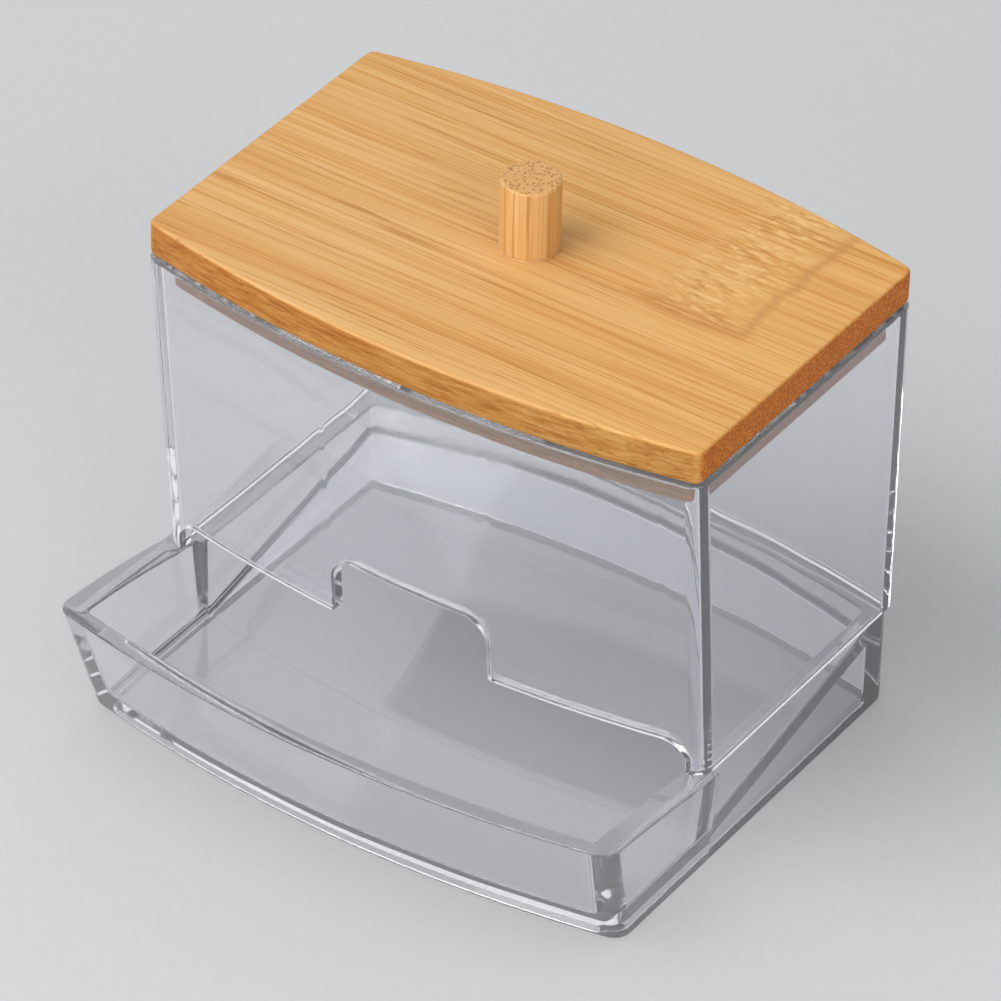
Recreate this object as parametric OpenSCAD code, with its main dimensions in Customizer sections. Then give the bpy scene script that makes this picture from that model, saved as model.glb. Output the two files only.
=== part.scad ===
// Clear countertop dispenser box for cotton swabs, with a loose bamboo lid.
// A bottomless hopper with bowed walls stands on a moulded tray base. Swabs slide
// down the base's ramp, through the outlet in the front wall, into the open tray.
// Seen from the front: X runs to the right, Y to the back, Z up.

/* [Hopper] */
// Width of the hopper, outside
body_w = 96; // [86:1:120]
// Depth of the hopper at its foot, between its corners
body_d = 51; // [44:1:70]
// Height of the hopper, from its foot to its rim
body_h = 54.8; // [40:0.1:90]
// How far the front and back walls bow out at mid width
bow = 5.4; // [3:0.1:8]
// How far the front wall leans out from its foot to the rim
lean = 4.7; // [2:0.1:8]
// Thickness of the hopper's walls
wall = 2.6; // [1.6:0.1:3.2]
// Radius of the hopper's upright corners, outside
corner_r = 3; // [2.5:0.1:5]

/* [Outlet] */
// Distance from the outlet's ends to the hopper's side faces
outlet_side = 3.2; // [2.8:0.1:8]
// Height of the outlet above the hopper's foot, at its two sides
outlet_h = 5.5; // [4.5:0.1:9]
// Radius of the outlet's upper corners
outlet_r = 3.6; // [1:0.1:4.2]
// Width of the finger notch in the middle of the outlet
notch_w = 27; // [18:0.5:40]
// Height of the finger notch above the hopper's foot
notch_h = 16.4; // [12:0.1:24]
// Radius of the finger notch's upper corners
notch_r = 4; // [1:0.1:5]

/* [Base] */
// Height of the base under the hopper
base_h = 17.1; // [15:0.1:24]
// How far the base's walls stand in from the hopper's
base_inset = 0.6; // [0.2:0.1:1.2]
// Thickness of the base's side and back walls
base_wall = 4.5; // [3.6:0.1:6]
// Radius of the base's upright corners, outside
base_r = 3; // [2:0.1:5]
// Thickness of the floor and the ramp
floor_t = 2.4; // [1.6:0.1:3]
// Gap between the table and the underside of the floor
foot_h = 1.6; // [0.8:0.1:2.4]
// Distance from the hopper's front wall back to the foot of the ramp
ramp_start = 5.4; // [3.5:0.1:8]
// How far the ramp climbs up to the back wall
ramp_rise = 11.2; // [6:0.1:12]

/* [Tray] */
// Reach of the tray's rim in front of the hopper
tray_reach = 26; // [18:0.5:36]
// How far the tray's front leans out from its foot to the rim
tray_flare = 6.5; // [3:0.1:9]
// How far each side of the tray leans out from its foot to the rim
tray_side_flare = 1.6; // [0.8:0.1:2.5]
// How far the rim climbs from the hopper to the front of the tray
rim_rise = 3.3; // [1:0.1:5]
// Radius of the gentle curve of the side rims
rim_curve_r = 180; // [120:5:300]
// Thickness of the tray's front wall
lip_t = 2.9; // [2:0.1:3.5]
// Width of the side rims at the front corners
side_rim = 4.1; // [3:0.1:4.4]

/* [Lid] */
// Thickness of the lid board
lid_t = 5.8; // [4:0.1:9]
// How far the lid's edge stands in from the hopper's faces
lid_inset = 0.4; // [0.2:0.1:1]
// Radius of the lid's upright corners
lid_r = 1.6; // [1.5:0.1:4]
// Bevel along the lid's upper edge
lid_bevel_top = 0.5; // [0.3:0.1:1]
// Bevel along the lid's lower edge
lid_bevel_low = 1; // [0.3:0.1:1.2]
// Depth of the plug that drops into the hopper's mouth
plug_t = 5.4; // [3:0.1:8]
// Clearance between the plug and the hopper's front and back walls
plug_gap = 2; // [0.8:0.1:3]
// Clearance between the plug and the hopper's side walls
plug_side_gap = 1; // [0.8:0.1:3]
// Diameter of the knob
knob_d = 9; // [7:0.5:16]
// Height of the knob above the lid
knob_h = 11.7; // [8:0.1:20]
// Bevel round the knob's top
knob_bevel = 0.4; // [0.2:0.1:1]

/* [Hidden] */
$fn = 32;
arc_fn = 240;
arc_steps = 18;
corner_steps = 6;
thin = 0.1;
past = 1;
far = 80;

// Radius of the bowed walls, from the width and the bow
arc_r = (body_w * body_w / 4 + bow * bow) / (2 * bow);
// Angle that the evenly stepped points of an outline's bows cover on each side
arc_t = asin((body_w / 2 - 9) / arc_r);
rim_top = base_h + rim_rise;
floor_top = foot_h + floor_t;
ramp_top = floor_top + ramp_rise;

// Depth positions. The origin is under the middle of the whole box.
back_y = (body_d + tray_reach + 2 * bow) / 2;
front_foot_y = back_y - 2 * bow - body_d;
front_rim_y = front_foot_y - lean;
tray_rim_y = front_foot_y - tray_reach;
post_y = front_foot_y + bow;
step_y = post_y + wall;
rim_z = base_h + body_h;
base_half_w = body_w / 2 - base_inset;
lean_deg = atan(lean / body_h);

// Outline with straight sides, bowed front and back and rounded corners.
// y0 and y1 are the foremost and rearmost points of the two bows.
module plan(half_w, y0, y1, big_r, r) {
    reach = sqrt(pow(big_r - r, 2) - pow(half_w - r, 2));
    touch_x = (half_w - r) * big_r / (big_r - r);
    front = y0 + big_r - reach;
    back = y1 - big_r + reach;
    intersection() {
        translate([0, y0 + big_r]) circle(r = big_r, $fn = arc_fn);
        translate([0, y1 - big_r]) circle(r = big_r, $fn = arc_fn);
        translate([-touch_x, y0]) square([2 * touch_x, y1 - y0]);
    }
    translate([-half_w, front]) square([2 * half_w, back - front]);
    for (x = [-1, 1], y = [front, back])
        translate([x * (half_w - r), y]) circle(r = r);
}

function arc(x, y, r, a0, a1, n) =
    [for (i = [0:n]) let (a = a0 + (a1 - a0) * i / n) [x + r * cos(a), y + r * sin(a)]];

// The same outline as a list of points, for the lofted forms
function outline(half_w, y0, y1, big_r, r) =
    let (
        reach = sqrt(pow(big_r - r, 2) - pow(half_w - r, 2)),
        t = asin((half_w - r) / (big_r - r)),
        cx = half_w - r,
        front = y0 + big_r - reach,
        back = y1 - big_r + reach
    )
    concat(
        arc(0, y0 + big_r, big_r, -90 - arc_t, -90 + arc_t, arc_steps),
        arc(cx, front, r, -90 + t, 0, corner_steps),
        arc(cx, back, r, 0, 90 - t, corner_steps),
        arc(0, y1 - big_r, big_r, 90 - arc_t, 90 + arc_t, arc_steps),
        arc(-cx, back, r, 90 + t, 180, corner_steps),
        arc(-cx, front, r, 180, 270 - t, corner_steps)
    );

// The hopper's form, drawn in by inset on all sides: an upright prism gives the
// sides and the back, and a prism that leans forward gives the front.
module hopper_form(inset, r) {
    half_w = body_w / 2 - inset;
    intersection() {
        translate([0, 0, base_h - past])
            linear_extrude(height = body_h + 2 * past)
                plan(half_w, front_rim_y - far, back_y - inset, arc_r - inset, r);
        translate([0, front_foot_y + inset, base_h])
            rotate([lean_deg, 0, 0])
                translate([0, -front_foot_y - inset, -10 * past])
                    linear_extrude(height = body_h + 20 * past)
                        plan(half_w, front_foot_y + inset, back_y + far, arc_r - inset, r);
    }
}

// Front view of the outlet: a wide low slot with a taller finger notch
module outlet_shape() {
    slot_w = body_w - 2 * outlet_side;
    translate([-slot_w / 2, -past]) square([slot_w, outlet_h - outlet_r + past]);
    translate([-slot_w / 2 + outlet_r, -past])
        square([slot_w - 2 * outlet_r, outlet_h + past]);
    for (x = [-1, 1])
        translate([x * (slot_w / 2 - outlet_r), outlet_h - outlet_r]) circle(r = outlet_r);
    translate([-notch_w / 2, 0]) square([notch_w, notch_h - notch_r]);
    translate([-notch_w / 2 + notch_r, 0]) square([notch_w - 2 * notch_r, notch_h]);
    for (x = [-1, 1])
        translate([x * (notch_w / 2 - notch_r), notch_h - notch_r]) circle(r = notch_r);
}

module hopper() {
    color([0.86, 0.88, 0.93, 0.45])
        difference() {
            intersection() {
                hopper_form(0, corner_r);
                translate([-body_w, -far, base_h]) cube([2 * body_w, 3 * far, body_h]);
            }
            hopper_form(wall, 1);
            translate([0, step_y, base_h])
                rotate([90, 0, 0])
                    linear_extrude(height = far) outlet_shape();
        }
}

// Outside of the tray at height z, drawn in by the side and front insets
module tray_section(z, side, front) {
    k = z / rim_top;
    foot_y = tray_rim_y + tray_flare;
    translate([0, 0, z])
        linear_extrude(height = thin)
            polygon(outline(base_half_w + k * tray_side_flare - side,
                            foot_y - k * tray_flare + front, back_y - base_inset, arc_r,
                            base_r - min(front, base_r - 1)));
}

// Side view of everything below the tray's curved rim
module below_rim() {
    dy = post_y - (tray_rim_y + bow);
    chord = sqrt(dy * dy + rim_rise * rim_rise);
    drop = sqrt(rim_curve_r * rim_curve_r - chord * chord / 4);
    mid = [post_y - dy / 2, base_h + rim_rise / 2];
    centre = [mid[0] - drop * rim_rise / chord, mid[1] - drop * dy / chord];
    translate([0, centre[0], centre[1]])
        rotate([0, 90, 0])
            cylinder(r = rim_curve_r, h = 2 * body_w, center = true, $fn = 720);
    translate([-body_w, post_y, -past]) cube([2 * body_w, 2 * far, base_h + past]);
}

module tray_form() {
    intersection() {
        hull() {
            tray_section(0, 0, 0);
            tray_section(rim_top + 2, 0, 0);
        }
        below_rim();
        translate([-body_w, -2 * far, 0]) cube([2 * body_w, 2 * far + step_y, 2 * far]);
    }
}

module base_block() {
    intersection() {
        linear_extrude(height = base_h)
            plan(base_half_w, front_foot_y - far, back_y - base_inset, arc_r - base_inset, base_r);
        translate([-body_w, step_y - past, 0]) cube([2 * body_w, 2 * far, 2 * far]);
    }
}

// Everything below the ramp's surface, lowered by dz, and wider than the well. The
// ramp carries the bow of the front wall up to the back wall.
module ramp_fill(dz) {
    half_w = base_half_w - base_wall + past;
    start_y = front_foot_y + ramp_start;
    end_y = back_y - base_inset - base_wall;
    hull() {
        translate([0, 0, -past])
            linear_extrude(height = floor_top + dz + past)
                polygon(outline(half_w, start_y, end_y + far, arc_r, 1));
        translate([0, 0, -past])
            linear_extrude(height = ramp_top + dz + past)
                polygon(outline(half_w, end_y, end_y + far, arc_r, 1));
    }
}

// Upright well between the base's side walls
module well(y0, z0, z1) {
    translate([0, 0, z0])
        linear_extrude(height = z1 - z0)
            plan(base_half_w - base_wall, y0, back_y - base_inset - base_wall,
                 arc_r - base_wall, 1);
}

module tray_well() {
    intersection() {
        hull() {
            tray_section(floor_top, base_wall, lip_t);
            tray_section(rim_top + 3, side_rim, lip_t);
        }
        translate([-body_w, -2 * far, 0]) cube([2 * body_w, 2 * far + step_y, 2 * far]);
    }
}

module base_tray() {
    color([0.86, 0.88, 0.93, 0.45])
        difference() {
            union() {
                tray_form();
                base_block();
            }
            difference() {
                union() {
                    tray_well();
                    intersection() {
                        well(front_foot_y - far, floor_top, base_h + past);
                        translate([-body_w, step_y - past, 0]) cube([2 * body_w, 2 * far, far]);
                    }
                }
                ramp_fill(0);
            }
            intersection() {
                ramp_fill(-floor_t);
                well(front_foot_y, -past, base_h);
            }
            well(tray_rim_y + tray_flare + lip_t, -past, foot_h);
        }
}

// One level of the lid board, drawn in from the hopper's rim outline
module lid_section(z, inset) {
    translate([0, 0, z])
        linear_extrude(height = thin)
            polygon(outline(body_w / 2 - lid_inset - inset, front_rim_y + lid_inset + inset,
                            back_y - lid_inset - inset, arc_r - lid_inset - inset,
                            lid_r - inset));
}

module lid() {
    inset = wall + plug_gap;
    side = wall + plug_side_gap;
    color([0.93, 0.74, 0.45]) {
        hull() {
            lid_section(rim_z, lid_bevel_low);
            lid_section(rim_z + lid_bevel_low, 0);
            lid_section(rim_z + lid_t - lid_bevel_top - thin, 0);
            lid_section(rim_z + lid_t - thin, lid_bevel_top);
        }
        translate([0, 0, rim_z - plug_t])
            linear_extrude(height = plug_t + lid_t / 2)
                plan(body_w / 2 - side, front_rim_y + inset, back_y - inset, arc_r - inset, 1);
    }
}

module knob() {
    color([0.9, 0.7, 0.42])
        translate([0, (front_rim_y + back_y) / 2, rim_z + lid_t]) {
            cylinder(d = knob_d, h = knob_h - knob_bevel);
            translate([0, 0, knob_h - knob_bevel])
                cylinder(d1 = knob_d, d2 = knob_d - 2 * knob_bevel, h = knob_bevel);
        }
}

hopper();
base_tray();
lid();
knob();
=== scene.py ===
"""Looks of the clear swab dispenser with its bamboo lid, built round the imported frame.

Lengths that draw the pieces are in millimetres, with the names and values of the
part's source, and mesh() turns them into metres. X runs to the right, Y to the
back and Z up, as in the frame.
"""

import math
import random

import bmesh
import bpy
from mathutils import Matrix, Vector


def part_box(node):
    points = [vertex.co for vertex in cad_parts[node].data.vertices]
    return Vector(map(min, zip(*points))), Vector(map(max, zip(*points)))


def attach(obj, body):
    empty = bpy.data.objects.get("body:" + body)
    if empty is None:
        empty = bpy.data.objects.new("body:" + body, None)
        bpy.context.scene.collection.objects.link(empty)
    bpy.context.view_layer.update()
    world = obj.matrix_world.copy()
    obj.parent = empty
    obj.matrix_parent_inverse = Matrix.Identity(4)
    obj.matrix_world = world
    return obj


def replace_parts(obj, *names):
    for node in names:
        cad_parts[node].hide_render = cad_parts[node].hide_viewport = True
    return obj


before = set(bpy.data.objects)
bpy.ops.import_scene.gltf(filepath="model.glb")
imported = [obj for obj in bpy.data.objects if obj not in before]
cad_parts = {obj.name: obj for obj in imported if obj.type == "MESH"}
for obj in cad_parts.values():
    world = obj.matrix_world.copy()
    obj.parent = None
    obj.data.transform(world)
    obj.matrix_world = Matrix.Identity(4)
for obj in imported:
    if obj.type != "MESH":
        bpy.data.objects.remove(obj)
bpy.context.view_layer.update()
MM = 0.001


def node_box(node):
    """Lowest and highest corner of a CAD node, in millimetres."""
    low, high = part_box(node)
    return [v / MM for v in low], [v / MM for v in high]


# ---------------------------------------------------------------- sizes
HOPPER_LOW, HOPPER_HIGH = node_box("hopper")
BASE_LOW = node_box("base_tray")[0]
LID_LOW, LID_HIGH = node_box("lid")
KNOB_LOW, KNOB_HIGH = node_box("knob")

BOW = 5.4
LEAN = 4.7
WALL = 2.6
CORNER_R = 3.0
INNER_R = 1.0
BODY_HALF_W = HOPPER_HIGH[0]
BASE_TOP = HOPPER_LOW[2]
RIM_TOP = HOPPER_HIGH[2]
BACK_Y = HOPPER_HIGH[1]
FRONT_RIM_Y = HOPPER_LOW[1]
FRONT_FOOT_Y = FRONT_RIM_Y + LEAN
ARC_R = (BODY_HALF_W**2 + BOW**2) / (2 * BOW)

OUTLET_SIDE = 3.2
OUTLET_H = 5.5
OUTLET_R = 3.6
NOTCH_W = 27.0
NOTCH_H = 16.4
NOTCH_R = 4.0
NOTCH_LOW_R = 0.8

BASE_INSET = 0.6
BASE_WALL = 4.5
BASE_R = 3.0
BASE_INNER_R = 1.0
BASE_HALF_W = BODY_HALF_W - BASE_INSET
FLOOR_T = 2.4
FLOOR_FILLET = 0.9
FOOT_H = 1.6
FLOOR_Z = FOOT_H + FLOOR_T
RAMP_START = 5.4
RAMP_RISE = 11.2
RAMP_BLEND = 0.35
TRAY_RIM_Y = BASE_LOW[1]
TRAY_FLARE = 6.5
TRAY_SIDE_FLARE = 1.6
RIM_RISE = 3.3
RIM_CURVE_R = 180.0
TRAY_TOP = BASE_TOP + RIM_RISE
CUT_TOP = TRAY_TOP + 3.0  # where the cut that hollows the tray ends
LIP_T = 2.9
SIDE_RIM = 4.1
POST_Y = FRONT_FOOT_Y + BOW
STEP_Y = POST_Y + WALL

LID_INSET = 0.4
LID_R = 1.6
LID_BEVEL_TOP = 0.5
LID_BEVEL_LOW = 1.0
BEVEL_TAPER = 0.6  # how much of a bevel's inset the lid's corners lose in radius
LID_T = LID_HIGH[2] - RIM_TOP
LID_TOP = RIM_TOP + LID_T
PLUG_T = RIM_TOP - LID_LOW[2]
PLUG_GAP = 2.0
PLUG_SIDE_GAP = 1.0
PLUG_INSET = WALL + PLUG_GAP
PLUG_SIDE_INSET = WALL + PLUG_SIDE_GAP
PLUG_R = 1.0
PLUG_EDGE_R = 0.5
KNOB_R = (KNOB_HIGH[0] - KNOB_LOW[0]) / 2
KNOB_Y = (KNOB_HIGH[1] + KNOB_LOW[1]) / 2
KNOB_EDGE_R = 0.45

EDGE_R = 0.4  # rounding of the plastic's edges
SEAM = 0.05  # air between two pieces that touch
ARC_STEPS = 8
RING_STEPS = 4
QUARTERS = (0.25, 0.5, 0.75)
TINY = 1e-6


# ---------------------------------------------------------------- outlines
def drop(x, r):
    """How far a bow of radius r has fallen away at x from its middle."""
    return r - math.sqrt(r * r - x * x)


def edge_y(x, half_w, apex, big_r, r):
    """Y of a bow that is convex towards -Y, with rounded corners, at x."""
    x = min(abs(x), half_w)
    touch = (half_w - r) * big_r / (big_r - r)
    if x <= touch:
        return apex + drop(x, big_r)
    centre = corner_y(half_w, apex, big_r, r)
    return centre - math.sqrt(max(r * r - (x - half_w + r) ** 2, 0))


def corner_y(half_w, apex, big_r, r):
    """Y of the centre of the bow's corner arcs."""
    return apex + big_r - math.sqrt((big_r - r) ** 2 - (half_w - r) ** 2)


def rounding(r, steps=RING_STEPS):
    """Inset and setback of each ring round a quarter of an edge, outside first."""
    angles = [math.pi / 2 * i / steps for i in range(steps + 1)]
    return [(r * (1 - math.cos(a)), r * (1 - math.sin(a))) for a in angles]


# ---------------------------------------------------------------- mesh helpers
def mesh(name, faces, body, material):
    """A closed mesh from faces given as lists of points in millimetres."""
    bm = bmesh.new()
    seen = {}
    for face in faces:
        verts = []
        for p in face:
            key = tuple(round(c, 4) for c in p)
            if key not in seen:
                seen[key] = bm.verts.new([c * MM for c in p])
            if seen[key] not in verts:
                verts.append(seen[key])
        if len(verts) > 2:
            try:
                bm.faces.new(verts)
            except ValueError:
                pass  # the same face is there already
    bmesh.ops.recalc_face_normals(bm, faces=bm.faces)
    data = bpy.data.meshes.new(name)
    bm.to_mesh(data)
    open_edges = sum(1 for e in bm.edges if len(e.link_faces) != 2)
    bm.free()
    if open_edges:
        print(f"{name}: {open_edges} open edges")
    obj = bpy.data.objects.new(name, data)
    bpy.context.scene.collection.objects.link(obj)
    data.materials.append(material)
    data.shade_smooth()
    normals = obj.modifiers.new("even faces", "WEIGHTED_NORMAL")
    normals.mode = "FACE_AREA"
    normals.weight = 90
    normals.keep_sharp = True
    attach(obj, body)
    return obj


def bridge(a, b):
    """Faces between two closed loops with as many points each."""
    n = len(a)
    return [[a[i], a[(i + 1) % n], b[(i + 1) % n], b[i]] for i in range(n)]


def chain(loops):
    """Faces that join each closed loop to the next."""
    faces = []
    for a, b in zip(loops, loops[1:]):
        faces += bridge(a, b)
    return faces


def strips(rows):
    """Faces that join each open row to the next."""
    return [
        [a[i], a[i + 1], b[i + 1], b[i]]
        for a, b in zip(rows, rows[1:])
        for i in range(len(a) - 1)
    ]


def four_sides(loop, n_front):
    """Front, right, back and left of a loop, cut in the middle of its corners.

    The loop starts with n_front points along its front. Front and back run to the
    right, left and right run to the back.
    """
    n = len(loop)
    half = ARC_STEPS // 2
    side_n = (n - 2 * n_front) // 2
    front = loop[n - half :] + loop[: n_front + half]
    right = loop[n_front + half - 1 : n_front + side_n - half + 1]
    back = loop[n_front + side_n - half : 2 * n_front + side_n + half][::-1]
    left = loop[2 * n_front + side_n + half - 1 : n - half + 1][::-1]
    return front, right, back, left


# ---------------------------------------------------------------- hopper
HOPPER_SIDE_STEPS = 4
NOTCH_LOW_STEPS = 3
UPPER_STEPS = 6
# Stations between the outlet's corners, close enough to follow the bow
PLAIN_X = [-38, -34, -30, -26, -22, -18, -8, -5.4, -2.7]
PLAIN_Z = [BASE_TOP + v for v in (7.6, 9.4, 11.4)]
BACK_X = [-41, -36, -30, -24, -18, -12, -6, 0, 6, 12, 18, 24, 30, 36, 41]


def outlet_path(e):
    """Left half of the outlet's edge in the front view, moved e into the wall."""
    end_x = BODY_HALF_W - OUTLET_SIDE
    slot_z = BASE_TOP + OUTLET_H
    notch_x = NOTCH_W / 2
    notch_z = BASE_TOP + NOTCH_H
    points = [(-end_x - e, BASE_TOP + SEAM + e)]

    def arc(cx, cz, r, a0, a1, steps=ARC_STEPS):
        for i in range(steps + 1):
            a = math.radians(a0 + (a1 - a0) * i / steps)
            points.append((cx + r * math.cos(a), cz + r * math.sin(a)))

    arc(-end_x + OUTLET_R, slot_z - OUTLET_R, OUTLET_R + e, 180, 90)
    low_cx = -notch_x - NOTCH_LOW_R
    points.extend((x, slot_z + e) for x in PLAIN_X if -end_x + OUTLET_R < x < low_cx)
    low_cz = slot_z + NOTCH_LOW_R
    arc(low_cx, low_cz, NOTCH_LOW_R - e, -90, 0, NOTCH_LOW_STEPS)
    high_cz = notch_z - NOTCH_R
    points.extend((-notch_x - e, z) for z in PLAIN_Z if low_cz < z < high_cz)
    arc(-notch_x + NOTCH_R, high_cz, NOTCH_R + e, 180, 90)
    points.extend((x, notch_z + e) for x in PLAIN_X if -notch_x + NOTCH_R < x < 0)
    points.append((0, notch_z + e))
    return points


def hopper_wall(z, inset):
    """Half width, apex, bow radius and corner radius of the wall's face at height z
    that lies inset from the outside."""
    r = CORNER_R - (CORNER_R - INNER_R) * inset / WALL
    apex = FRONT_FOOT_Y + inset - LEAN * (z - BASE_TOP) / (RIM_TOP - BASE_TOP)
    return BODY_HALF_W - inset, apex, ARC_R - inset, r


def hopper_point(x, z, inset):
    """A point of the front wall's face that lies inset from the outside."""
    return (x, edge_y(x, *hopper_wall(z, inset)), z)


def hopper_flank(z, inset, x_end):
    """Points from the front wall's right end round the back to its left end."""
    half_w, apex, big_r, r = hopper_wall(z, inset)
    front_c = corner_y(half_w, apex, big_r, r)
    back_c = -corner_y(half_w, -(BACK_Y - inset), big_r, r)
    start = math.acos((x_end - half_w + r) / r)
    end = math.asin((half_w - r) / (big_r - r))
    right = []
    for i in range(1, ARC_STEPS + 1):
        a = start * (1 - i / ARC_STEPS)
        right.append((half_w - r + r * math.cos(a), front_c - r * math.sin(a), z))
    for i in range(1, HOPPER_SIDE_STEPS):
        right.append((half_w, front_c + (back_c - front_c) * i / HOPPER_SIDE_STEPS, z))
    for i in range(ARC_STEPS + 1):
        a = (math.pi / 2 - end) * i / ARC_STEPS
        right.append((half_w - r + r * math.cos(a), back_c + r * math.sin(a), z))
    back = [(-x, BACK_Y - inset - drop(x, big_r), z) for x in BACK_X]
    left = [(-x, y, zz) for x, y, zz in reversed(right)]
    return right + back + left


def inside(x, z, polygon):
    """Whether a point lies inside a closed outline, by counting what it crosses."""
    odd = False
    for (x0, z0), (x1, z1) in zip(polygon, polygon[1:] + polygon[:1]):
        if (z0 > z) != (z1 > z) and x < x0 + (z - z0) * (x1 - x0) / (z1 - z0):
            odd = not odd
    return odd


def build_hopper(material):
    end_x = BODY_HALF_W - OUTLET_SIDE
    x_end = end_x + EDGE_R
    low_z = BASE_TOP + SEAM + EDGE_R
    top_z = RIM_TOP - SEAM - EDGE_R

    def whole_path(e):
        left = outlet_path(e)
        return left + [(-x, z) for x, z in reversed(left[:-1])]

    def foot_ring(inset, e):
        """Round the outlet's edge and the hopper's foot."""
        front = [hopper_point(x, z, inset) for x, z in whole_path(e)]
        return front + hopper_flank(BASE_TOP + SEAM + e, inset, end_x + e)

    # A grid over the walls, whose lines go through each point of the outlet's edge
    edge = whole_path(EDGE_R)
    fixed = [(round(x, 6), round(z, 6)) for x, z in edge]
    stations = sorted({x for x, _ in fixed})
    path_z = sorted({z for _, z in fixed} | {round(low_z, 6)})
    rise = top_z - path_z[-1]
    upper = [path_z[-1] + rise * i / UPPER_STEPS for i in range(1, UPPER_STEPS + 1)]
    levels = path_z + upper
    # Steps of the outlet's edge that cut across a cell of the grid
    cuts = {frozenset(pair) for pair in zip(fixed, fixed[1:])}

    def spot(corner):
        return stations[corner[0]], levels[corner[1]]

    def parts_of(cell):
        """The cell, or its two halves where the outlet's edge cuts across it."""
        parts = [cell]
        for k in (0, 1):
            if frozenset(spot(cell[k + c]) for c in (0, 2)) in cuts:
                parts = [cell[k : k + 3], [cell[k + 2], cell[(k + 3) % 4], cell[k]]]
        return parts

    faces = []
    for inset in (0.0, WALL):
        grid = [[hopper_point(x, z, inset) for x in stations] for z in levels]
        flank = [hopper_flank(z, inset, x_end) for z in levels]
        for j in range(len(levels) - 1):
            faces += strips([[grid[k][-1]] + flank[k] + [grid[k][0]] for k in (j, j + 1)])
            for i in range(len(stations) - 1):
                for part in parts_of([(i, j), (i + 1, j), (i + 1, j + 1), (i, j + 1)]):
                    x, z = (sum(v) / len(part) for v in zip(*map(spot, part)))
                    if not inside(x, z, edge):
                        faces.append([grid[b][a] for a, b in part])

    def rim_ring(inset, e):
        z = RIM_TOP - SEAM - e
        return [hopper_point(x, z, inset) for x in stations] + hopper_flank(z, inset, x_end)

    for ring in (foot_ring, rim_ring):
        outer = [ring(i, e) for i, e in rounding(EDGE_R)]
        inner = [ring(WALL - i, e) for i, e in reversed(rounding(EDGE_R))]
        faces += chain(outer + inner)
    return mesh("clear_hopper", faces, "box", material)


# ---------------------------------------------------------------- base
def rim_z(y):
    """Height of the tray's curved rim, which is level under the hopper."""
    run = POST_Y - (TRAY_RIM_Y + BOW)
    chord = math.hypot(run, RIM_RISE)
    sag = math.sqrt(RIM_CURVE_R**2 - chord**2 / 4)
    cy = POST_Y - run / 2 - sag * RIM_RISE / chord
    cz = BASE_TOP + RIM_RISE / 2 - sag * run / chord
    if y >= POST_Y:
        return BASE_TOP
    return cz + math.sqrt(RIM_CURVE_R**2 - (y - cy) ** 2)


BEND_Y = FRONT_FOOT_Y + RAMP_START
RAMP_END_Y = BACK_Y - BASE_INSET - BASE_WALL
SLOPE = RAMP_RISE / (RAMP_END_Y - BEND_Y)
INNER_HALF_W = BASE_HALF_W - BASE_WALL
BEND_END_X = INNER_HALF_W - 1.0  # the bend's last station, short of the wall's fillet
BEND_SIDE_Y = BEND_Y + drop(BEND_END_X, ARC_R)
FRONT_STEPS = 16
FRONT_U = [i / FRONT_STEPS for i in range(-FRONT_STEPS, FRONT_STEPS + 1)]
# Stations along a side: first shares of the way from the front corner to SIDE_START,
# then places in Y, with a pair where the upright wall starts and five over the bend
SIDE_SHARES = [0.15, 0.35, 0.6, 0.85]
SIDE_START = -22.0
BENDS = [-RAMP_BLEND, -RAMP_BLEND / 2, 0, RAMP_BLEND / 2, RAMP_BLEND]
SIDE_YS = [SIDE_START, -17.0, POST_Y, STEP_Y, STEP_Y + 0.02]
SIDE_YS += [BEND_SIDE_Y + b for b in BENDS] + [0.0, 10.0, 20.0, 29.0]
SETTLE_STEPS = 4


def floor_z(x, y):
    """Top of the floor and the ramp, with a small blend along the bend."""
    d = y - BEND_Y - drop(x, ARC_R)
    if d <= -RAMP_BLEND:
        return FLOOR_Z
    if d < RAMP_BLEND:
        d = (d + RAMP_BLEND) ** 2 / (4 * RAMP_BLEND)
    return FLOOR_Z + SLOPE * d


def floor_under(x, y):
    """Underside of the floor and the ramp."""
    return floor_z(x, y) - FLOOR_T


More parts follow.
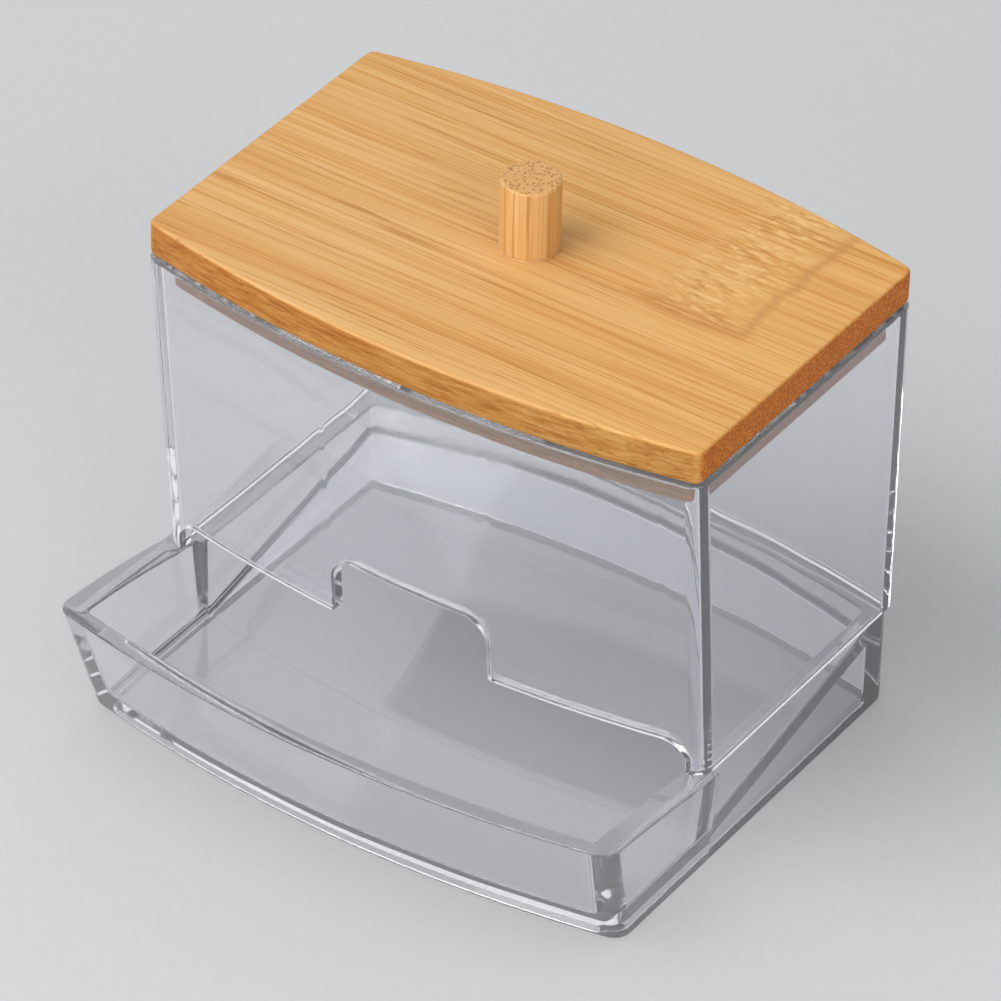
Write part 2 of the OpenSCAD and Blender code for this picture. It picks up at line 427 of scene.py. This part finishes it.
def base_loop(place):
    """A loop round the base. place(y) gives (z, side, front, back, r) near y: the
    height, how far the loop stands in from the outside on each side, and the radius
    of its corners."""

    def settle(y, point):
        """A point whose height hangs on its Y, which hangs on its height."""
        for _ in range(SETTLE_STEPS):
            x, y = point(*place(y))
        return x, y, place(y)[0]

    def half_w(z, side, upright):
        flare = 0 if upright else z / TRAY_TOP * TRAY_SIDE_FLARE
        return BASE_HALF_W + flare - side

    def front_apex(z, front):
        return TRAY_RIM_Y + TRAY_FLARE * (1 - z / TRAY_TOP) + front

    def front_point(u):
        def point(z, side, front, back, r):
            w = half_w(z, side, False)
            x = u * (w - r) * ARC_R / (ARC_R - r)
            return x, front_apex(z, front) + drop(x, ARC_R)

        return settle(TRAY_RIM_Y, point)

    def corner_point(share):
        def point(z, side, front, back, r):
            w = half_w(z, side, False)
            c = corner_y(w, front_apex(z, front), ARC_R, r)
            low = math.asin((w - r) / (ARC_R - r))
            a = -math.pi / 2 + low + (math.pi / 2 - low) * share
            return w - r + r * math.cos(a), c + r * math.sin(a)

        return settle(TRAY_RIM_Y + BOW, point)

    def side_point(y0, share=None):
        def point(z, side, front, back, r):
            upright = share is None and y0 > STEP_Y
            w = half_w(z, side, upright)
            if share is None:
                return w, y0
            c = corner_y(w, front_apex(z, front), ARC_R, r)
            return w, c + (SIDE_START - c) * share

        return settle(y0, point)

    def back_corner_point(share):
        def point(z, side, front, back, r):
            w = BASE_HALF_W - side
            big_r = ARC_R - back
            c = -corner_y(w, -(BACK_Y - BASE_INSET - back), big_r, r)
            a = share * (math.pi / 2 - math.asin((w - r) / (big_r - r)))
            return w - r + r * math.cos(a), c + r * math.sin(a)

        return settle(BACK_Y, point)

    def back_point(u):
        def point(z, side, front, back, r):
            w = BASE_HALF_W - side
            big_r = ARC_R - back
            x = u * (w - r) * big_r / (big_r - r)
            return x, BACK_Y - BASE_INSET - back - drop(x, big_r)

        return settle(BACK_Y, point)

    corner = [i / ARC_STEPS for i in range(1, ARC_STEPS + 1)]
    right = [corner_point(s) for s in corner]
    right += [side_point(TRAY_RIM_Y + BOW, s) for s in SIDE_SHARES]
    right += [side_point(y) for y in SIDE_YS]
    right += [back_corner_point(s) for s in [0] + corner[:-1]]
    front = [front_point(u) for u in FRONT_U]
    back = [back_point(-u) for u in FRONT_U]
    left = [(-x, y, z) for x, y, z in reversed(right)]
    return front + right + back + left


def base_sheet(loop, height):
    """Faces that close a loop with the surface height(x, y). Their rows bend from the
    bow of the loop's front to that of the floor's bend, and on to that of its back."""
    first, right, last, left = four_sides(loop, len(FRONT_U))
    front_y, back_y = first[0][1], last[0][1]
    bend_y = next(y for _, y, _ in right if abs(y - BEND_SIDE_Y) < TINY)
    rows = [first]
    for k in range(1, len(right) - 1):
        x0, y0 = left[k][:2]
        x1, y1 = right[k][:2]
        row = [left[k]]
        for i in range(1, len(first) - 1):
            share = (first[i][0] - first[0][0]) / (first[-1][0] - first[0][0])
            x = x0 + (x1 - x0) * share
            y = y0 + (y1 - y0) * share
            bend_off = drop(x, ARC_R) - drop(x1, ARC_R)
            if abs(y1 - bend_y) <= RAMP_BLEND + TINY:
                off = bend_off
            elif y1 < bend_y:
                t = (y1 - front_y) / (bend_y - front_y)
                off = (first[i][1] - front_y) * (1 - t) + bend_off * t
            else:
                t = (y1 - bend_y) / (back_y - bend_y)
                off = bend_off * (1 - t) + (last[i][1] - back_y) * t
            row.append((x, y + off, height(x, y + off)))
        rows.append(row + [right[k]])
    return strips(rows + [last])


def outside(i, z_of):
    """A loop on the base's outside, drawn in by i, at heights z_of(y)."""
    return base_loop(lambda y: (z_of(y), i, i, i, BASE_R - i * 2 / 3))


def within(i, z_of):
    """A loop on the tray's inner wall, drawn i into the wall, at heights z_of(y)."""

    def place(y):
        z = z_of(y)
        share = (z - FLOOR_Z) / (CUT_TOP - FLOOR_Z)
        side = BASE_WALL + (SIDE_RIM - BASE_WALL) * min(max(share, 0), 1)
        return z, side - i, LIP_T - i, BASE_WALL - i, BASE_INNER_R

    return base_loop(place)


def foot(i, z):
    """A level loop on the inner side of the foot, drawn i into the wall."""
    inset = BASE_WALL - i
    return base_loop(lambda y: (z, inset, LIP_T - i, inset, BASE_INNER_R))


def floor_ring(inset, up):
    """A loop of the fillet between the inner wall and the floor."""

    def level(y):
        if y < BEND_Y:
            return FLOOR_Z
        return min(floor_z(INNER_HALF_W, y), BASE_TOP)

    return [(x, y, floor_z(x, y) + up) for x, y, _ in within(-inset, level)]


def lower_wall(share):
    """A loop on the inner wall, at a share of the way from the rim to the floor."""
    top = within(0, lambda y: rim_z(y) - EDGE_R)
    low = floor_ring(0, FLOOR_FILLET)
    return [tuple(a + (b - a) * share for a, b in zip(p, q)) for p, q in zip(top, low)]


def build_base(material):
    # From the middle of the underside, round the foot and over the rim, to the floor
    rings = rounding(EDGE_R)
    ceiling = [(x, y, floor_under(x, y)) for x, y, _ in foot(0, 0)]
    loops = [ceiling]
    loops += [foot(i, e) for i, e in rings]
    loops += [outside(i, lambda y: e) for i, e in reversed(rings)]
    loops += [outside(0, lambda y: EDGE_R + (rim_z(y) - 2 * EDGE_R) * s) for s in QUARTERS]
    loops += [outside(i, lambda y: rim_z(y) - e) for i, e in rings]
    loops += [within(i, lambda y: rim_z(y) - e) for i, e in reversed(rings)]
    loops += [lower_wall(s) for s in QUARTERS]
    loops += [floor_ring(i, e) for i, e in rounding(FLOOR_FILLET)]
    faces = chain(loops)
    faces += base_sheet(loops[-1], floor_z)
    faces += base_sheet(ceiling, floor_under)
    return mesh("clear_base", faces, "box", material)


# ---------------------------------------------------------------- lid
LID_STEPS = 20
LID_U = [i / LID_STEPS for i in range(-LID_STEPS, LID_STEPS + 1)]
LID_SIDE_STEPS = 6


def lid_loop(inset, z, r, side=0.0):
    """A level outline of the lid, drawn in by inset and by side more at its ends."""
    half_w = BODY_HALF_W - LID_INSET - inset - side
    big_r = ARC_R - LID_INSET - inset
    front = FRONT_RIM_Y + LID_INSET + inset
    back = BACK_Y - LID_INSET - inset
    low = math.asin((half_w - r) / (big_r - r))
    front_c = corner_y(half_w, front, big_r, r)
    back_c = -corner_y(half_w, -back, big_r, r)
    touch = (half_w - r) * big_r / (big_r - r)
    right = []
    for i in range(1, ARC_STEPS + 1):
        a = -math.pi / 2 + low + (math.pi / 2 - low) * i / ARC_STEPS
        right.append((half_w - r + r * math.cos(a), front_c + r * math.sin(a), z))
    for i in range(1, LID_SIDE_STEPS):
        right.append((half_w, front_c + (back_c - front_c) * i / LID_SIDE_STEPS, z))
    for i in range(ARC_STEPS):
        a = (math.pi / 2 - low) * i / ARC_STEPS
        right.append((half_w - r + r * math.cos(a), back_c + r * math.sin(a), z))
    front_row = [(u * touch, front + drop(u * touch, big_r), z) for u in LID_U]
    back_row = [(-u * touch, back - drop(u * touch, big_r), z) for u in LID_U]
    return front_row + right + back_row + [(-x, y, zz) for x, y, zz in reversed(right)]


def cap(loop):
    """Flat rows of faces that close a lid loop."""
    first, right, last, left = four_sides(loop, len(LID_U))
    front_y, back_y, z = first[0][1], last[0][1], first[0][2]
    rows = [first]
    for k in range(1, len(right) - 1):
        y = right[k][1]
        t = (y - front_y) / (back_y - front_y)
        row = [left[k]]
        for i in range(1, len(first) - 1):
            x = first[i][0] * (1 - t) + last[i][0] * t
            off = (first[i][1] - front_y) * (1 - t) + (last[i][1] - back_y) * t
            row.append((x, y + off, z))
        rows.append(row + [right[k]])
    return strips(rows + [last])


def build_lid(material):
    plug = PLUG_INSET - LID_INSET
    side = PLUG_SIDE_INSET - PLUG_INSET
    plug_z = RIM_TOP - PLUG_T

    def board(inset, z):
        return lid_loop(inset, z, LID_R - inset * BEVEL_TAPER)

    loops = [
        lid_loop(plug + i, plug_z + e, PLUG_R, side)
        for i, e in reversed(rounding(PLUG_EDGE_R))
    ]
    loops.append(lid_loop(plug, RIM_TOP, PLUG_R, side))
    loops += [board(i, RIM_TOP + e) for i, e in reversed(rounding(LID_BEVEL_LOW, 6))]
    loops += [board(i, LID_TOP - e) for i, e in rounding(LID_BEVEL_TOP, 5)]
    faces = chain(loops) + cap(loops[0]) + cap(loops[-1])
    return mesh("bamboo_lid", faces, "lid", material)


def revolve(profile, steps=64, wobble=None):
    """Faces of a form turned round the knob's axis from (radius, height) pairs, closed
    at both ends. wobble(angle) gives what the radius is multiplied by."""
    loops = []
    for r, z in profile:
        loop = []
        for i in range(steps):
            a = 2 * math.pi * i / steps
            k = wobble(a) if wobble else 1
            loop.append((r * k * math.cos(a), KNOB_Y + r * k * math.sin(a), z))
        loops.append(loop)
    return chain(loops) + [loops[0], loops[-1]]


def build_knob(material):
    """A dowel with a broken edge at its foot, a rounded one at its top, and a top that
    dips by a hair in the middle."""
    low = LID_TOP + SEAM
    high = KNOB_HIGH[2]
    profile = [(KNOB_R - 0.1, low)]
    profile += [(KNOB_R, low + 0.3), (KNOB_R, low + (high - low) / 2)]
    profile += [(KNOB_R - i, high - e) for i, e in rounding(KNOB_EDGE_R)]
    profile += [(KNOB_R * 0.6, high - 0.01), (KNOB_R * 0.2, high - 0.02)]
    return mesh("bamboo_knob", revolve(profile), "lid", material)


def build_glue(material):
    """The thin bead of dried glue round the knob's foot, widest at the front."""
    dice = random.Random(7)
    phases = [dice.uniform(0, 2 * math.pi) for _ in range(5)]

    def wobble(a):
        waves = sum(math.sin((k + 2) * a + p) for k, p in enumerate(phases)) / 2
        return 1 + 0.012 * waves - 0.028 * (1 + math.sin(a))

    # How far each point lies outside the knob and above the lid
    section = [(-0.25, 0.02), (0.1, 0.02), (0.07, 0.08), (0.01, 0.15), (-0.25, 0.17)]
    profile = [(KNOB_R + out, LID_TOP + up) for out, up in section]
    return mesh("glue_bead", revolve(profile, 96, wobble), "lid", material)


# ---------------------------------------------------------------- shader helpers
def new_material(name):
    mat = bpy.data.materials.new(name)
    mat.use_nodes = True
    tree = mat.node_tree
    return mat, tree, tree.nodes["Principled BSDF"]


def own_coords(tree):
    return tree.nodes.new("ShaderNodeTexCoord").outputs["Object"]


def split_xyz(tree, vector):
    node = tree.nodes.new("ShaderNodeSeparateXYZ")
    tree.links.new(vector, node.inputs[0])
    return node.outputs


def stretched(tree, scale, source=None, location=(0, 0, 0)):
    """The piece's own coordinates in millimetres times scale."""
    mapping = tree.nodes.new("ShaderNodeMapping")
    mapping.inputs["Scale"].default_value = [s / MM for s in scale]
    mapping.inputs["Location"].default_value = location
    tree.links.new(source or own_coords(tree), mapping.inputs["Vector"])
    return mapping.outputs["Vector"]


def noise(tree, vector, detail, roughness):
    node = tree.nodes.new("ShaderNodeTexNoise")
    node.inputs["Scale"].default_value = 1.0
    node.inputs["Detail"].default_value = detail
    node.inputs["Roughness"].default_value = roughness
    tree.links.new(vector, node.inputs["Vector"])
    return node.outputs["Fac"]


def pores(tree, vector):
    """Distance to the middle of the nearest cell, as of cut fibres."""
    node = tree.nodes.new("ShaderNodeTexVoronoi")
    node.inputs["Scale"].default_value = 1.0
    tree.links.new(vector, node.inputs["Vector"])
    return node.outputs["Distance"]


def ramp(tree, fac, stops):
    node = tree.nodes.new("ShaderNodeValToRGB")
    elements = node.color_ramp.elements
    while len(elements) < len(stops):
        elements.new(0.5)
    for element, (position, colour) in zip(elements, stops):
        element.position = position
        element.color = (*colour, 1)
    tree.links.new(fac, node.inputs["Fac"])
    return node.outputs["Color"]


def grey(v):
    return (v, v, v)


def mix(tree, fac, a, b, blend="MIX"):
    node = tree.nodes.new("ShaderNodeMix")
    node.data_type = "RGBA"
    node.blend_type = blend
    for value, socket in ((fac, node.inputs[0]), (a, node.inputs[6]), (b, node.inputs[7])):
        if isinstance(value, (int, float)):
            socket.default_value = value
        elif isinstance(value, tuple):
            socket.default_value = (*value, 1)
        else:
            tree.links.new(value, socket)
    return node.outputs[2]


def maths(tree, operation, a, b=0.0, clamp=False):
    node = tree.nodes.new("ShaderNodeMath")
    node.operation = operation
    node.use_clamp = clamp
    for value, socket in ((a, node.inputs[0]), (b, node.inputs[1])):
        if isinstance(value, (int, float)):
            socket.default_value = value
        else:
            tree.links.new(value, socket)
    return node.outputs[0]


def facing(tree, axis, power, fold="ABSOLUTE"):
    """How squarely a face looks along an axis, from 0 to 1, sharpened by power."""
    normal = split_xyz(tree, tree.nodes.new("ShaderNodeNewGeometry").outputs["Normal"])
    return maths(tree, "POWER", maths(tree, fold, normal[axis]), power)


def squared_off(tree, value, middle, half_size):
    """Square of how far a value lies from a middle, in half sizes."""
    off = maths(tree, "MULTIPLY", maths(tree, "SUBTRACT", value, middle), 1 / half_size)
    return maths(tree, "MULTIPLY", off, off)


def bump(tree, shader, height, distance):
    node = tree.nodes.new("ShaderNodeBump")
    node.inputs["Strength"].default_value = 1.0
    node.inputs["Distance"].default_value = distance * MM
    tree.links.new(height, node.inputs["Height"])
    tree.links.new(node.outputs["Normal"], shader.inputs["Normal"])


# ---------------------------------------------------------------- clear plastic
def clear_plastic():
    mat, tree, shader = new_material("clear polystyrene")
    shader.inputs["Base Color"].default_value = (0.965, 0.967, 0.995, 1)
    # A trace of milkiness lights up the edges, where light turns round many times
    shader.inputs["Transmission Weight"].default_value = 0.94
    shader.inputs["IOR"].default_value = 1.55
    haze = noise(tree, stretched(tree, (0.05, 0.05, 0.05)), 1, 0.5)
    rough = ramp(tree, haze, [(0.35, grey(0.012)), (0.75, grey(0.05))])
    tree.links.new(rough, shader.inputs["Roughness"])
    waves = noise(tree, stretched(tree, (0.05, 0.05, 0.03)), 0, 0.4)
    bump(tree, shader, waves, 0.12)
    # Lamps shine straight through it, so that it throws a pale shadow
    path = tree.nodes.new("ShaderNodeLightPath")
    through = tree.nodes.new("ShaderNodeBsdfTransparent")
    through.inputs["Color"].default_value = (0.95, 0.955, 0.965, 1)
    both = tree.nodes.new("ShaderNodeMixShader")
    tree.links.new(path.outputs["Is Shadow Ray"], both.inputs["Fac"])
    tree.links.new(shader.outputs["BSDF"], both.inputs[1])
    tree.links.new(through.outputs["BSDF"], both.inputs[2])
    tree.links.new(both.outputs["Shader"], tree.nodes["Material Output"].inputs["Surface"])
    return mat


# ---------------------------------------------------------------- bamboo
PALE = (0.735, 0.43, 0.172)
HONEY = (0.65, 0.345, 0.112)
STREAK = (0.44, 0.195, 0.045)
GOLDEN = (0.99, 0.94, 0.78)
KNUCKLE_LINE = (0.5, 0.24, 0.07)
STAIN = (0.52, 0.22, 0.05)
DARK_FLECK = (0.45, 0.21, 0.05)
PALE_FLECK = (0.87, 0.57, 0.24)
WOOD_SPECULAR = 0.2
GRAIN_DEPTH = 0.05

# Places of marks on the lid, in millimetres
GOLDEN_START_X, GOLDEN_LENGTH = -20.0, 55.0
KNUCKLE_X = 36.6
KNUCKLE_WANDER = 4.0
KNUCKLE_FRONT_Y = 8.0
KNUCKLE_FADE = 4.0
FLECKS_LEFT = 9.0
STAIN_X, STAIN_Y = 28.0, 10.0
STAIN_HALF_LENGTH, STAIN_HALF_WIDTH = 10.0, 2.4
# Half the length of the painted shade that warms and darkens front and back towards the left
PAINTED_SHADE_HALF_LENGTH = 30.0


def bamboo(name, grain):
    """Pressed bamboo. grain gives how fast the pattern changes per millimetre along
    X, Y and Z, slow along the strands."""
    mat, tree, shader = new_material(name)
    coords = own_coords(tree)
    gx, gy, gz = grain

    def pattern(kx, kyz, location=(0, 0, 0)):
        return stretched(tree, (gx * kx, gy * kyz, gz * kyz), coords, location)

    broad = noise(tree, pattern(0.4, 0.12), 3, 0.5)
    colour = ramp(tree, broad, [(0.32, HONEY), (0.62, PALE)])
    # Strands dim the blue most and the red least, which keeps the dark ones warm
    strands = noise(tree, pattern(1, 1), 5, 0.65)
    warm = [(0.37, (0.88, 0.76, 0.58)), (0.49, grey(0.99)), (0.64, (1.03, 1.06, 1.12))]
    colour = mix(tree, 1.0, colour, ramp(tree, strands, warm), "MULTIPLY")
    # Thin crisp lines lie where a slow pattern crosses its middle value
    lines = noise(tree, pattern(0.5, 0.55, (7, 3, 5)), 2, 0.5)
    near = maths(tree, "ABSOLUTE", maths(tree, "SUBTRACT", lines, 0.5))
    thin = ramp(tree, near, [(0.006, grey(1)), (0.022, grey(0))])
    patch = noise(tree, pattern(1, 0.1, (4, 8, 2)), 1, 0.5)
    shown = ramp(tree, patch, [(0.38, grey(0)), (0.52, grey(1))])
    mask = maths(tree, "MULTIPLY", thin, shown)
    colour = mix(tree, maths(tree, "MULTIPLY", mask, 0.7), colour, STREAK)
    return mat, tree, shader, coords, colour, strands


def finish_wood(tree, shader, colour, strands):
    tree.links.new(colour, shader.inputs["Base Color"])
    rough = ramp(tree, strands, [(0.3, grey(0.56)), (0.7, grey(0.44))])
    tree.links.new(rough, shader.inputs["Roughness"])
    shader.inputs["Specular IOR Level"].default_value = WOOD_SPECULAR
    bump(tree, shader, strands, GRAIN_DEPTH)


def knuckle_line(tree, colour, coords, off, behind):
    """A darker dashed line across the grain, where off, the distance from it, is 0."""
    near = maths(tree, "MULTIPLY", maths(tree, "ABSOLUTE", off), 0.8)
    band = maths(tree, "SUBTRACT", 1.1, near, clamp=True)
    band = maths(tree, "MULTIPLY", band, behind)
    dashes = noise(tree, stretched(tree, (0.3, 0.9, 0.9), coords, (6, 1, 3)), 2, 0.6)
    dashes = ramp(tree, dashes, [(0.35, grey(0.35)), (0.6, grey(1))])
    band = maths(tree, "MULTIPLY", band, dashes)
    return mix(tree, maths(tree, "MULTIPLY", band, 0.75), colour, KNUCKLE_LINE)


def brown_stain(tree, colour, along, across, strands):
    """A brown stain along the grain, in front of the knuckle."""
    dx = squared_off(tree, along, STAIN_X, STAIN_HALF_LENGTH)
    dy = squared_off(tree, across, STAIN_Y, STAIN_HALF_WIDTH)
    stain = maths(tree, "SUBTRACT", 1.4, maths(tree, "ADD", dx, dy), clamp=True)
    soaked = ramp(tree, strands, [(0.44, grey(1)), (0.62, grey(0.2))])
    stain = maths(tree, "MULTIPLY", stain, soaked)
    return mix(tree, maths(tree, "MULTIPLY", stain, 0.75), colour, STAIN)


def knuckle_flecks(tree, colour, coords, off, behind):
    """Dark and pale flecks on the left of the knuckle's line."""
    away = maths(tree, "ABSOLUTE", maths(tree, "ADD", off, FLECKS_LEFT))
    zone = maths(tree, "SUBTRACT", 1.5, maths(tree, "MULTIPLY", away, 0.16), clamp=True)
    zone = maths(tree, "MULTIPLY", zone, behind)
    flecks = noise(tree, stretched(tree, (0.3, 1.3, 1.3), coords, (2, 9, 4)), 3, 0.6)
    for fleck, stops in (
        (DARK_FLECK, [(0.36, grey(1)), (0.45, grey(0))]),
        (PALE_FLECK, [(0.52, grey(0)), (0.6, grey(1))]),
    ):
        share = maths(tree, "MULTIPLY", zone, ramp(tree, flecks, stops))
        colour = mix(tree, maths(tree, "MULTIPLY", share, 0.6), colour, fleck)
    return colour


def cut_faces_and_painted_shade(tree, colour, coords, along):
    """End grain on the two ends; along front and back a rougher cut, made browner and darker
    as painted shade, and warmer and darker still towards the left.
    """
    holes = pores(tree, stretched(tree, (0.5, 2.3, 2.3), coords))
    stops = [(0.12, (0.72, 0.29, 0.04)), (0.3, (0.60, 0.17, 0.01)), (0.6, (0.42, 0.11, 0.006))]
    colour = mix(tree, facing(tree, "X", 3.0), colour, ramp(tree, holes, stops))
    # Painted shade: the front and back faces are darkened, with the rough grain of the cut in
    # it
    rough_cut = noise(tree, stretched(tree, (0.16, 0.7, 1.7), coords, (1, 1, 8)), 6, 0.72)
    stops = [(0.38, (0.68, 0.42, 0.16)), (0.5, (0.86, 0.7, 0.42)), (0.62, (1.0, 0.92, 0.74))]
    side = mix(tree, 1.0, colour, ramp(tree, rough_cut, stops), "MULTIPLY")
    # Painted shade along front and back, warmer and darker towards the left
    to_right = maths(tree, "ADD", along, PAINTED_SHADE_HALF_LENGTH)
    to_right = maths(tree, "MULTIPLY", to_right, 1 / (2 * PAINTED_SHADE_HALF_LENGTH), clamp=True)
    painted_shade_tint = mix(tree, to_right, (0.72, 0.6, 0.4), (0.72, 0.76, 0.86))
    side = mix(tree, 1.0, side, painted_shade_tint, "MULTIPLY")
    return mix(tree, facing(tree, "Y", 4.0), colour, side)


def lid_bamboo():
    mat, tree, shader, coords, colour, strands = bamboo("bamboo board", (0.018, 1.5, 1.5))
    place = split_xyz(tree, coords)
    along, across = (maths(tree, "MULTIPLY", place[axis], 1 / MM) for axis in "XY")
    # The board turns more golden towards the knuckle of the cane
    golden = maths(tree, "SUBTRACT", along, GOLDEN_START_X)
    golden = maths(tree, "MULTIPLY", golden, 1 / GOLDEN_LENGTH, clamp=True)
    colour = mix(tree, golden, colour, mix(tree, 1.0, colour, GOLDEN, "MULTIPLY"))
    # The knuckle's line wanders a little, and fades out towards the front
    wander = noise(tree, stretched(tree, (0.02, 0.12, 0.12), coords), 3, 0.6)
    wander = maths(tree, "MULTIPLY", maths(tree, "SUBTRACT", wander, 0.5), KNUCKLE_WANDER)
    off = maths(tree, "ADD", maths(tree, "SUBTRACT", along, KNUCKLE_X), wander)
    behind = maths(tree, "SUBTRACT", across, KNUCKLE_FRONT_Y)
    behind = maths(tree, "MULTIPLY", behind, 1 / KNUCKLE_FADE, clamp=True)
    colour = knuckle_line(tree, colour, coords, off, behind)
    colour = brown_stain(tree, colour, along, across, strands)
    colour = knuckle_flecks(tree, colour, coords, off, behind)
    colour = cut_faces_and_painted_shade(tree, colour, coords, along)
    finish_wood(tree, shader, colour, strands)
    return mat


def knob_bamboo():
    """Upright strands, with the dots of cut fibres on the top."""
    mat, tree, shader, coords, colour, strands = bamboo("bamboo dowel", (1.5, 1.5, 0.02))
    holes = pores(tree, stretched(tree, (1.7, 1.7, 0.4), coords))
    dots = ramp(tree, holes, [(0.2, (0.40, 0.18, 0.06)), (0.5, (0.65, 0.37, 0.14))])
    colour = mix(tree, facing(tree, "Z", 3.0, "MAXIMUM"), colour, dots)
    finish_wood(tree, shader, colour, strands)
    return mat


def dried_glue():
    mat, tree, shader = new_material("dried glue")
    cloud = noise(tree, stretched(tree, (1.2, 1.2, 1.2)), 3, 0.6)
    colour = ramp(tree, cloud, [(0.35, (0.62, 0.34, 0.13)), (0.65, (0.74, 0.46, 0.22))])
    tree.links.new(colour, shader.inputs["Base Color"])
    shader.inputs["Roughness"].default_value = 0.5
    shader.inputs["Specular IOR Level"].default_value = WOOD_SPECULAR
    bump(tree, shader, cloud, 0.06)
    return mat


# ---------------------------------------------------------------- the pieces
plastic = clear_plastic()
wood = lid_bamboo()
dowel = knob_bamboo()
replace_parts(build_hopper(plastic), "hopper")
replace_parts(build_base(plastic), "base_tray")
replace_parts(build_lid(wood), "lid")
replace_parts(build_knob(dowel), "knob")
build_glue(dried_glue())


# ---------------------------------------------------------------- studio
FLOOR_HALF = 3.0  # metres, as are the places and sizes of the lamps
WORLD_TINT = (0.95, 0.97, 1.0)
WORLD_LEVEL = 0.45  # strength with which the world lights the box
WORLD_SHOWN = 0.85  # strength with which it shows at the height of the eye
WORLD_RISE = 0.45  # what that gains towards the top

CAMERA_AZ, CAMERA_EL, CAMERA_ROLL = 33.9, 37.13, 1.33
CAMERA_TARGET = Vector((2.25, 1.4, 38.4)) * MM
CAMERA_DISTANCE = 1077.9 * MM
CAMERA_REACH = 20.0
FOCAL_PX, FRAME_PX, SENSOR = 7416.6, 1001, 36.0


def build_floor():
    bm = bmesh.new()
    bmesh.ops.create_grid(bm, x_segments=8, y_segments=8, size=FLOOR_HALF)
    data = bpy.data.meshes.new("floor")
    bm.to_mesh(data)
    bm.free()
    floor = bpy.data.objects.new("floor", data)
    bpy.context.scene.collection.objects.link(floor)
    mat, tree, shader = new_material("pale paper")
    fibres = noise(tree, stretched(tree, (0.4, 0.4, 0.4)), 4, 0.6)
    colour = ramp(tree, fibres, [(0.3, grey(0.60)), (0.7, grey(0.615))])
    tree.links.new(colour, shader.inputs["Base Color"])
    shader.inputs["Roughness"].default_value = 0.75
    data.materials.append(mat)


def area_light(name, place, aim, size, watts):
    data = bpy.data.lights.new(name, "AREA")
    data.shape = "SQUARE"
    data.size = size
    data.energy = watts
    light = bpy.data.objects.new(name, data)
    bpy.context.scene.collection.objects.link(light)
    light.location = place
    light.rotation_euler = (Vector(aim) - Vector(place)).to_track_quat("-Z", "Y").to_euler()


def build_world():
    world = bpy.data.worlds.new("studio")
    world.use_nodes = True
    tree = world.node_tree
    back = tree.nodes["Background"]
    back.inputs["Color"].default_value = (*WORLD_TINT, 1)
    # The studio's pale walls as they show in the clear plastic, paler towards the top
    sky = split_xyz(tree, tree.nodes.new("ShaderNodeTexCoord").outputs["Generated"])
    height = maths(tree, "MULTIPLY", sky["Z"], WORLD_RISE, clamp=True)
    shown = maths(tree, "ADD", height, WORLD_SHOWN)
    path = tree.nodes.new("ShaderNodeLightPath")
    seen = maths(tree, "MAXIMUM", path.outputs["Is Camera Ray"], path.outputs["Is Glossy Ray"])
    seen = maths(tree, "MAXIMUM", seen, path.outputs["Is Transmission Ray"])
    extra = maths(tree, "MULTIPLY", seen, maths(tree, "SUBTRACT", shown, WORLD_LEVEL))
    tree.links.new(maths(tree, "ADD", extra, WORLD_LEVEL), back.inputs["Strength"])
    bpy.context.scene.world = world


def build_camera():
    az, el = math.radians(CAMERA_AZ), math.radians(CAMERA_EL)
    back = Vector((math.sin(az) * math.cos(el), -math.cos(az) * math.cos(el), math.sin(el)))
    data = bpy.data.cameras.new("camera")
    data.sensor_width = SENSOR
    data.lens = FOCAL_PX / FRAME_PX * SENSOR
    data.clip_end = CAMERA_REACH
    camera = bpy.data.objects.new("camera", data)
    bpy.context.scene.collection.objects.link(camera)
    camera.location = CAMERA_TARGET + back * CAMERA_DISTANCE
    turn = back.to_track_quat("Z", "Y").to_matrix().to_4x4()
    roll = Matrix.Rotation(math.radians(CAMERA_ROLL), 4, "Z")
    camera.matrix_world = Matrix.Translation(camera.location) @ turn @ roll
    bpy.context.scene.camera = camera


build_floor()
build_world()
area_light("key", place=(-0.55, -0.75, 1.3), aim=(0, 0, 0.04), size=1.0, watts=15.0)
area_light("fill", place=(1.1, -0.5, 0.7), aim=(0, 0, 0.04), size=0.8, watts=5.0)
area_light("front", place=(0.1, -1.3, 0.4), aim=(0, 0, 0.05), size=0.9, watts=7.0)
build_camera()

# Light turns round many times inside clear walls before it comes out. The walls
# let lamps through by themselves, so no focused light is traced as well.
cycles = bpy.context.scene.cycles
cycles.max_bounces = 11
cycles.diffuse_bounces = 2
cycles.glossy_bounces = 8
cycles.transmission_bounces = 11
cycles.caustics_reflective = False
cycles.caustics_refractive = False
cycles.use_light_tree = False

view = bpy.context.scene.view_settings
view.view_transform = "Standard"
